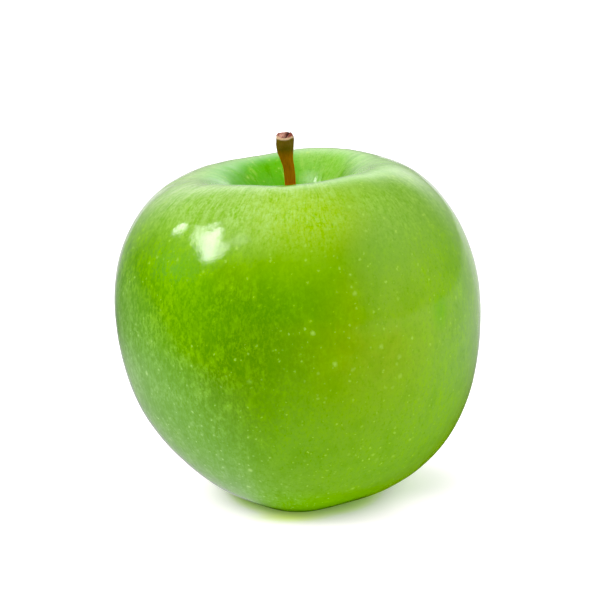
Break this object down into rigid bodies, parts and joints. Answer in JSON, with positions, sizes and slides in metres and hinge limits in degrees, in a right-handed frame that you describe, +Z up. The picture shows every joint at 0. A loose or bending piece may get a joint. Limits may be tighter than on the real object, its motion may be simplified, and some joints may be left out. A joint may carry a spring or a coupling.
{
  "type": "green apple",
  "caption": "Whole green apple with its short woody stalk in the top hollow and a dried calyx underneath, standing on the small pads of its base.",
  "frame": {"origin": "centre of the outline seen from above, in the plane of the pads that the base rests on", "axes": "+Z up along the core towards the stalk, -Y towards the viewer of the picture, +X to the viewer's right"},
  "size_m": [0.0807, 0.0814, 0.0809],
  "materials": {
    "apple_skin": "gloss",
    "stalk_bark": "matte",
    "dried_sepal": "matte",
    "dried_stamen": "matte"
  },
  "bodies": {
    "root": {"fruit": "apple_skin", "stalk": "stalk_bark", "sepal_1": "dried_sepal", "sepal_2": "dried_sepal", "sepal_3": "dried_sepal", "sepal_4": "dried_sepal", "sepal_5": "dried_sepal", "stamens": "dried_stamen"}
  },
  "joints": []
}
